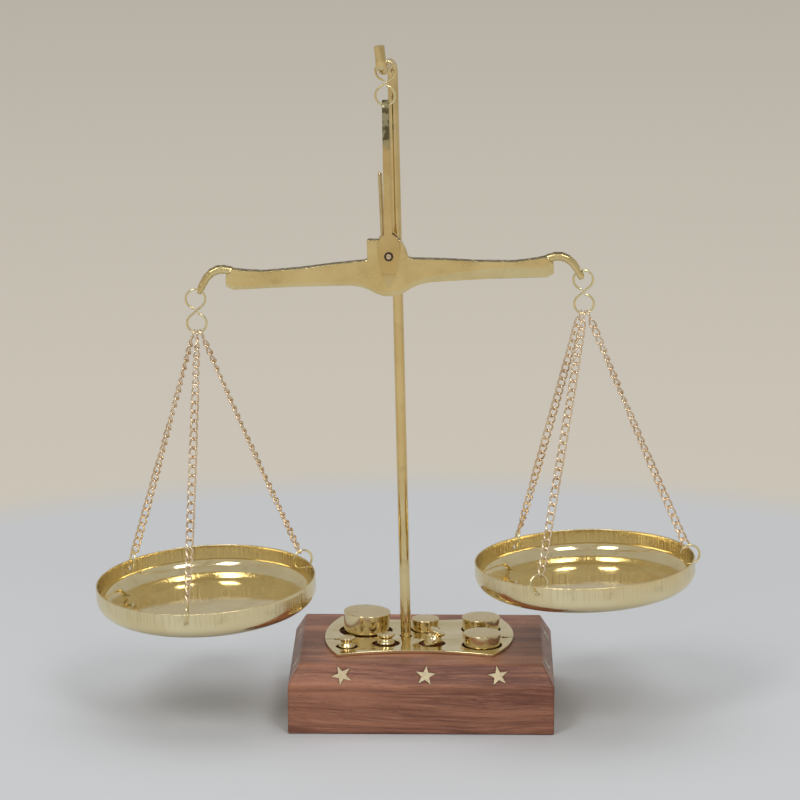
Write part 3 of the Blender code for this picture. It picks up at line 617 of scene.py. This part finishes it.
def make_plate():
    corners = ((-37.0, -31.2), (33.8, -30.8), (37.0, 31.2), (-37.0, 31.2))
    outline = bowed(corners[0], corners[1], 6.4) + bowed(corners[1], corners[2], -8.3)
    outline += bowed(corners[2], corners[3], 6.4) + bowed(corners[3], corners[0], -6.7)
    outline = [(x - 1.4, y + 0.8) for x, y in outline]
    circles = [(x, y, WELLS[name]) for name, (x, y, *_) in (PLAIN_WEIGHTS | SPOOL_WEIGHTS).items()]
    circles += [(-7.5, 0.0, 2.98)] + [(x, y, 1.5) for x, y in NAILS.values()]
    outlines = [outline] + [arc((x, y), r, 0, 2 * math.pi, 72)[:-1] for x, y, r in circles]
    outlines = [[(x * MM, y * MM) for x, y in points] for points in outlines]
    middle = Matrix.Translation((0, 0, PLATE_TOP - 0.7 * MM))
    plate = slab("fine_weight_plate", outlines, 1.4 * MM, 0.25 * MM, "plate", middle)
    for x, y in NAILS.values():
        middle = ((x + math.copysign(4.0, x)) * MM, y * MM, PLATE_TOP)
        saw = box_mesh("saw", (8 * MM, 0.6 * MM, 6 * MM), middle)
        carve(plate, add_object("saw", saw, "plate"))
    plate.data.set_sharp_from_angle(angle=math.radians(40))
    settle(plate, "polished_brass", "weight_plate")
    for side, (x, y) in NAILS.items():
        profile = [(0, 0), (0.8, -0.05), (1.2, -0.3), (1.2, -0.6), (0.6, -0.6), (0.6, -11.0), (0, -12.0)]
        profile = [(r * MM, z * MM) for r, z in rounded(profile, 0.2)]
        place = Matrix.Translation((x * MM, y * MM, 32.5 * MM))
        nail = lathe(f"fine_plate_nail_{side}", profile, "nail", place, 32)
        settle(nail, "cast_brass", f"plate_nail_{side}")


def make_weights():
    for name, (x, y, radius, above, depth, lean) in PLAIN_WEIGHTS.items():
        low, height = radius * 0.94, above + depth
        profile = [(0, height), (radius, height), (low, 0), (0, 0)]
        profile = [(r * MM, z * MM) for r, z in rounded(profile, 0.45, 5)]
        turn = math.radians(lean)
        foot = Vector((x, y, 33.0 - depth + math.sin(turn) * low)) * MM
        matrix = Matrix.Translation(foot) @ Matrix.Rotation(turn, 4, "Y")
        settle(lathe("fine_" + name, profile, "weight", matrix, 96), "turned_brass", name)
    for name, (x, y, radius, above, depth, lean) in SPOOL_WEIGHTS.items():
        waist, length = radius * 0.72, above + depth
        profile = [(0, length), (radius, length), (radius, length - 1.0), (waist, length - 1.8)]
        profile += [(waist, length - 2.6), (radius, length - 3.9), (radius, 0), (0, 0)]
        profile = [(r * MM, z * MM) for r, z in rounded(profile, 0.3, 4)]
        turn = math.radians(lean)
        foot = Vector((x - length * 0.15 * math.sin(turn), y, 33.0 - depth + radius * math.sin(turn))) * MM
        matrix = Matrix.Translation(foot) @ Matrix.Rotation(turn, 4, "Y")
        settle(lathe("fine_" + name, profile, "weight", matrix, 64), "turned_brass", name)


def make_post():
    lean, yaw = math.radians(1.33), math.radians(14.0)
    back, reach, front_z = 301.1 - 6.0, 20.5, 299.7

    def at(z):
        return -7.5 - math.tan(lean) * max(0.0, z - 31.5)

    points = [Vector((-7.5, 0, 1.4)), Vector((-7.5, 0, 20.0)), Vector((-7.5, 0, 32.5))]
    points += [Vector((at(z), 0, z)) for z in range(40, 291, 10)]
    turns = arc((6.0, back), 6.0, math.pi, math.pi / 2, 18)
    turns += arc((reach - 4.8, front_z + 4.8), 4.8, -math.pi / 2, 0, 18)
    forward = Vector((-math.sin(yaw), -math.cos(yaw), 0))
    top = Vector((at(back), 0, 0))
    points += [top + forward * r + Vector((0, 0, z)) for r, z in turns]
    points.append(top + forward * reach + Vector((-0.7, 0, 311.3 - 0.35)))
    radii = [2.38 * MM] * len(points)
    verts, faces = tube([p * MM for p in points], radii, 40, dome=0.15)
    post = add_mesh("fine_post", verts, faces, "post", None, 50.0)
    dimple(post, points[-1] * MM)
    settle(post, "polished_brass", "post")


def dimple(post, tip):
    """Replaces the flat end of the post by a small turned hollow."""
    bm = bmesh.new()
    bm.from_mesh(post.data)
    cap = max(bm.faces, key=lambda face: face.calc_center_median().z if len(face.verts) > 8 else -1)
    for _ in range(2):
        bmesh.ops.inset_region(bm, faces=[cap], thickness=0.16 * MM, use_even_offset=False)
    bmesh.ops.translate(bm, vec=(0, 0, -0.5 * MM), verts=cap.verts)
    bm.to_mesh(post.data)
    bm.free()


# Hooks, fork, beam and pointer


def hook_path(shift=0.0, lean=0.0, steps=56):
    top = Vector((shift, 0, -math.sqrt(HOOK_RADIUS**2 - shift**2)))
    leave = -math.pi / 2 + math.acos(2 * HOOK_RADIUS / HOOK_PITCH)
    upper = arc((0, 0), HOOK_RADIUS, HOOK_OPEN_ANGLE, leave, steps)
    lower = [(-x, -HOOK_PITCH - z) for x, z in reversed(upper)]
    swing = Matrix.Rotation(-lean, 3, "Y")
    return [top + swing @ Vector((x, 0, z)) for x, z in upper + lower]


def make_fork():
    matrix = Matrix.Translation(PIVOT)
    dense = refined("fork", "fine_fork", "fork", matrix, 0.17, 4)
    for vert in dense.vertices:
        x, y, z = vert.co
        outer = 4.5 - 0.3
        if z < -9.4 and abs(y) > 3.3:
            limit = 4.5 + (z + 9.4) * 0.2
            vert.co.y = math.copysign(min(abs(y), limit), y)
        if abs(y) > outer and -8 < z < 60:
            vert.co.y -= math.copysign(0.05 * (1 + noise.noise(Vector((x, y, z)) / 7)), y)
    settle(placed("fine_fork", dense, "fork", matrix), "polished_brass", "fork")
    across = Matrix.Translation(PIVOT) @ Matrix.Rotation(math.radians(90), 4, "X")
    profile = [(0, 5.5), (1.1, 5.4), (1.3, 5.05), (1.45, 4.95), (2.0, 5.0), (2.1, 4.8), (1.25, 4.8)]
    profile += [(r, -z) for r, z in reversed(profile)]
    profile = [(r * MM, z * MM) for r, z in rounded(profile, 0.12, 3)]
    settle(lathe("fine_pivot_pin", profile, "pin", across, 48), "cast_brass", "pivot_pin")


LOWER_EDGE = [(0.0, -18.7), (3.3, -18.4), (6.4, -17.2), (9.8, -15.2), (13.4, -13.8)]
LOWER_EDGE += [(18.0, -13.0), (44.0, -12.6), (70.8, -12.9), (74.0, -11.3)]


def between(table, x):
    """The value at x of a table of (x, value) points."""
    if x <= table[0][0]:
        return table[0][1]
    for (x0, y0), (x1, y1) in zip(table, table[1:]):
        if x <= x1:
            return y0 + (y1 - y0) * (x - x0) / (x1 - x0)
    return table[-1][1]


def make_beam():
    """The cast beam. A bevel, wider on the right arm, runs along its lower edge."""
    dense = refined("beam", "fine_beam", "beam", BEAM_MATRIX, 0.22, 4)
    band = [(-74, 1.6), (-40, 1.4), (-12, 1.6), (0, 2.0), (14, 2.4), (34, 4.2), (52, 5.2), (74, 5.0)]
    for vert in dense.vertices:
        x, y, z = vert.co
        if abs(x) > 75 or abs(y) < 0.3:
            continue
        wide = between(band, x)
        rise = z - between(LOWER_EDGE, abs(x))
        limit = 2.5 - 0.3 * max(0.0, wide - rise)
        limit -= 0.06 * (1 + noise.noise(Vector((x, y, z)) / 11))
        if abs(y) > 1.2 and abs(y) > limit:
            vert.co.y = math.copysign(limit, y)
    settle(placed("fine_beam", dense, "beam", BEAM_MATRIX), "cast_brass", "beam")
    tip = arc((0, 37.9 - 0.95), 0.95, math.pi / 2, 0, 8)
    profile = [(0, 37.9)] + tip[1:] + [(0.95, 20.0), (0.95, 4.4), (0.8, 4.2), (0, 4.2)]
    profile = [(r * MM, z * MM) for r, z in profile]
    matrix = BEAM_MATRIX @ Matrix.Translation((-2.4 * MM, 0, 0))
    settle(lathe("fine_pointer", profile, "pointer", matrix, 32), "polished_brass", "pointer")


# Pans, rings and chains


def pan_matrix(side):
    front_down, right_up = (math.radians(angle) for angle in side["tilt"])
    turn = Matrix.Rotation(-right_up, 4, "Y") @ Matrix.Rotation(front_down, 4, "X")
    return Matrix.Translation(side["rim"]) @ turn


def tip_hole(side):
    x, z = side["eye"]
    return BEAM_MATRIX @ Vector((x, 0, z))


def hang_point(side):
    shift = side["shift"]
    top = Vector((shift, 0, -math.sqrt(HOOK_RADIUS**2 - shift**2)))
    foot = Matrix.Rotation(-side["lean"], 3, "Y") @ Vector((0, 0, -HOOK_PITCH - HOOK_RADIUS))
    return tip_hole(side) + top + foot


def frame_at(centre, up, across):
    z = up.normalized()
    y = (across - z * across.dot(z)).normalized()
    return Matrix.Translation(centre) @ Matrix((y.cross(z), y, z)).transposed().to_4x4()


def wall_hole(side, place):
    bearing, _, depth = side["chains"][place]
    outwards = Matrix.Rotation(math.radians(bearing), 4, "Z") @ Matrix.Rotation(math.pi / 2, 4, "Y")
    wall = outwards.to_3x3() @ Vector((depth, 0, PAN_RADIUS - PAN_WALL / 2))
    return pan_matrix(side) @ Matrix.Translation(wall) @ outwards


def pan_profile():
    inner = PAN_RADIUS - PAN_WALL
    squash_in = (PAN_DEPTH - PAN_WALL - PAN_STRAIGHT) / (PAN_CORNER - PAN_WALL)
    squash_out = (PAN_DEPTH - PAN_STRAIGHT) / PAN_CORNER
    middle = PAN_RADIUS - PAN_CORNER
    floor = [(r * MM, -PAN_DEPTH + PAN_WALL) for r in (0.5, 4, 10, 20, 30)]
    inside = arc((middle, 0), PAN_CORNER - PAN_WALL, -math.pi / 2, 0, 24)
    outside = arc((middle, 0), PAN_CORNER, 0, -math.pi / 2, 24)
    inside = [(x, -PAN_STRAIGHT + z * squash_in) for x, z in inside]
    outside = [(x, -PAN_STRAIGHT + z * squash_out) for x, z in outside]
    wall_in = [(inner, -PAN_STRAIGHT * s) for s in (0.75, 0.5, 0.25)]
    wall_out = [(PAN_RADIUS, -PAN_STRAIGHT * s) for s in (0.25, 0.5, 0.75)]
    half = PAN_WALL / 2
    rim = arc((inner + half, -half), half, math.pi, 0, 8)
    under = [(r, -PAN_DEPTH) for r, _ in reversed(floor)]
    start, end = [(0, -PAN_DEPTH + PAN_WALL)], [(0, -PAN_DEPTH)]
    return start + floor + inside + wall_in + rim + wall_out + outside + under + end


def make_pan(name, side):
    pan = lathe(f"fine_{name}_pan", pan_profile(), "pan", pan_matrix(side), 160, 50.0)
    for place in side["chains"]:
        profile = [(0, 0.003), (PAN_HOLE, 0.003), (PAN_HOLE, -0.003), (0, -0.003)]
        carve(pan, lathe("drill", profile, "pan", wall_hole(side, place), 24))
    pan.data.set_sharp_from_angle(angle=math.radians(50))
    settle(pan, "spun_brass", f"{name}_pan")


def ring_line(radius, steps, gap=0.0, part=0.0, facing=0.0):
    """A ring in the X-Z plane. It is closed, or open by gap, with its ends parted sideways by part."""
    if not gap:
        return [Vector((x, 0, z)) for x, z in arc((0, 0), radius, 0, 2 * math.pi, steps)[:-1]]
    line = []
    for step in range(steps + 1):
        turn = facing + gap / 2 + (2 * math.pi - gap) * step / steps
        line.append(Vector((radius * math.cos(turn), part * (step / steps - 0.5), radius * math.sin(turn))))
    return line


LINK_PITCH = 4.1 * MM
CURB_WIRE = 0.44 * MM
CURB_HALF_WIDTH = 1.55 * MM
CURB_LIFT = 0.68 * MM
LINK_STEPS = 24
# How far each chain's links are turned from facing the front, in degrees, from its top to its ring
CHAIN_TURNS = {
    ("left", "left"): ((0, 80), (0.45, 68), (0.7, 30), (1, 12)),
    ("left", "front"): ((0, 75), (0.22, 25), (0.6, 0), (0.8, -30), (1, -70)),
    ("left", "right"): ((0, 60), (0.15, 75), (0.6, 95), (1, 105)),
    ("right", "left"): ((0, 30), (0.3, 12), (0.7, -18), (1, -62)),
    ("right", "front"): ((0, 62), (0.2, 22), (0.7, -8), (1, -28)),
    ("right", "right"): ((0, 40), (0.3, 70), (0.6, 38), (1, 18)),
}


def curb_chain(name, start, end, turns, sag):
    """Twisted oval links in a line from the start to the end, which sags a little."""
    along = end - start
    count = round((along.length - 2 * CURB_WIRE) / LINK_PITCH)
    pitch = (along.length - 2 * CURB_WIRE) / count
    half = pitch / 2 + CURB_WIRE
    axis = along.normalized()
    side = axis.cross(Vector((0, 1, 0))).normalized()
    other = axis.cross(side)
    verts, faces = [], []
    for index in range(count):
        share = (index + 0.5) / count
        middle = start + axis * (CURB_WIRE + pitch * (index + 0.5)) + sag * math.sin(math.pi * share)
        turn = math.radians(between(turns, share) + 9 * math.sin(5.1 * index))
        u = side * math.cos(turn) + other * math.sin(turn)
        v = axis.cross(u)
        line = []
        for step in range(LINK_STEPS):
            t = 2 * math.pi * step / LINK_STEPS
            oval = math.copysign(abs(math.cos(t)) ** 0.82, math.cos(t))
            width = u * CURB_HALF_WIDTH * math.sin(t) + v * CURB_LIFT * math.sin(2 * t)
            line.append(middle - axis * half * oval + width)
        link_verts, link_faces = tube(line, [CURB_WIRE] * len(line), 8, True)
        base = len(verts)
        verts += link_verts
        faces += [tuple(base + corner for corner in face) for face in link_faces]
    return add_mesh(name, verts, faces, "chain", None, 60.0)


def make_chain(name, place, side, hang):
    bearing, turn, _ = side["chains"][place]
    spread = math.radians(LINK_ANGLES[place])
    tangent = Vector((math.cos(spread), 0, math.sin(spread)))
    middle = hang + Vector((0, 0, HOOK_RADIUS))
    top = middle + Vector((math.sin(spread), 0, -math.cos(spread))) * HOOK_RADIUS
    hole = wall_hole(side, place).translation
    up = (top - hole).normalized()

    facing = math.radians(bearing + turn + 90)
    normal = Vector((math.cos(facing), math.sin(facing), 0))
    ring_at = frame_at(hole + up * RING_RADIUS, up, normal)
    opening = math.radians(-60 if place != "left" else 200)
    line = ring_line(RING_RADIUS, 64, 0.12, 0.35 * MM, opening)
    ring = wire(f"fine_{name}_{place}_jump_ring", line, RING_WIRE, "wire", ring_at, 14)
    settle(ring, "wire_brass", f"{name}_{place}_jump_ring")

    drop = LINK_RADIUS - LINK_WIRE - HOOK_WIRE - PLAY
    link_at = frame_at(top - up * drop, up, tangent)
    line = ring_line(LINK_RADIUS, 32)
    link = wire(f"fine_{name}_{place}_end_link", line, LINK_WIRE, "chain", link_at, 10, True)
    settle(link, "chain_brass", f"{name}_{place}_end_link")

    start = top - up * (drop + LINK_RADIUS - LINK_WIRE - CURB_WIRE)
    end = hole + up * (2 * RING_RADIUS - RING_WIRE - CURB_WIRE)
    axis = (end - start).normalized()
    sag = (Vector((0, 0, -1)) + axis * axis.z) * 0.9 * MM
    chain = curb_chain(f"fine_{name}_{place}_chain", start, end, CHAIN_TURNS[name, place], sag)
    settle(chain, "chain_brass", f"{name}_{place}_chain")


# Stage, lights and camera


def make_stage():
    """A pale floor that turns warmer away from the object."""
    bm = bmesh.new()
    bmesh.ops.create_circle(bm, cap_ends=True, segments=96, radius=14.0)
    mesh = bpy.data.meshes.new("floor")
    bm.to_mesh(mesh)
    bm.free()
    floor = bpy.data.objects.new("floor", mesh)
    scene.collection.objects.link(floor)
    look = Look("pale_floor")
    cloud = look.noise(5.0, detail=3.0)
    away = look.span(look.radius(), 0.38, 0.46)
    near = look.mix(cloud, (0.54, 0.558, 0.588), (0.57, 0.588, 0.615))
    colour = look.mix(away, near, (0.4, 0.37, 0.32))
    glow = look.mix(away, (0.0, 0.0, 0.0), (0.2, 0.185, 0.16))
    look.set(Base_Color=colour, Roughness=0.6, Emission_Color=glow, Emission_Strength=1.0)
    mesh.materials.append(look.material)
    floor.location.z = -0.0002


def make_world():
    """A plain soft studio: an even, faintly warm light that is paler overhead."""
    world = bpy.data.worlds.new("studio")
    scene.world = world
    world.use_nodes = True
    look = Look.__new__(Look)
    look.tree = world.node_tree
    look.at = look.add("TexCoord").outputs["Generated"]
    height = look.span(look.split()[2], 0.0, 0.75)
    sky = look.tree.nodes["Background"]
    look.feed(sky.inputs["Color"], look.mix(height, (0.52, 0.5, 0.46), (0.46, 0.45, 0.43)))
    sky.inputs["Strength"].default_value = 1.0


def softbox(name, location, target, size, power, colour=(1.0, 1.0, 1.0)):
    light = bpy.data.lights.new(name, "AREA")
    light.shape = "RECTANGLE"
    light.size, light.size_y = size
    light.energy = power
    light.color = colour
    obj = bpy.data.objects.new(name, light)
    scene.collection.objects.link(obj)
    obj.location = location
    obj.rotation_euler = (Vector(target) - Vector(location)).to_track_quat("-Z", "Y").to_euler()
    return obj


def make_camera():
    camera = bpy.data.cameras.new("camera")
    camera.lens = CAMERA_LENS
    camera.sensor_width = 36
    camera.clip_start = 0.05
    camera.clip_end = 60
    obj = bpy.data.objects.new("camera", camera)
    scene.collection.objects.link(obj)
    obj.location = CAMERA_PLACE
    obj.rotation_euler = (math.radians(90 - CAMERA_PITCH), 0, math.radians(CAMERA_YAW))
    scene.camera = obj
    scene.view_settings.view_transform = "Standard"


def main():
    make_camera()
    make_stage()
    make_world()
    softbox("key_left", (-0.8, -1.3, 1.6), (0, 0, 0.1), (0.5, 0.8), 12.0)
    softbox("fill_right", (0.6, -1.3, 1.6), (0, 0, 0.1), (0.55, 0.8), 10.0)
    overhead = softbox("overhead", (0.0, 0.6, 2.4), (0, 0.5, 0), (2.4, 2.0), 19.0)
    overhead.visible_glossy = False

    keep_cad("base_block", "wood")
    for node in frame["nodes"]:
        if node.startswith("star_"):
            keep_cad(node, "star")
    keep_cad("post_washer", "zinc")
    keep_cad("post_nut", "zinc")
    make_plate()
    make_weights()
    make_post()
    upper = Matrix.Translation(TOP_RING + Vector((0, 0, HOOK_RADIUS)))
    hook = wire("fine_top_s_hook", hook_path(), HOOK_WIRE, "wire", upper, 16)
    settle(hook, "wire_brass", "top_s_hook")
    make_fork()
    make_beam()
    for name, side in SIDES.items():
        line = hook_path(side["shift"], side["lean"])
        hook = wire(f"fine_{name}_s_hook", line, HOOK_WIRE, "wire", Matrix.Translation(tip_hole(side)), 16)
        settle(hook, "wire_brass", f"{name}_s_hook")
        make_pan(name, side)
        for place in side["chains"]:
            make_chain(name, place, side, hang_point(side))


main()
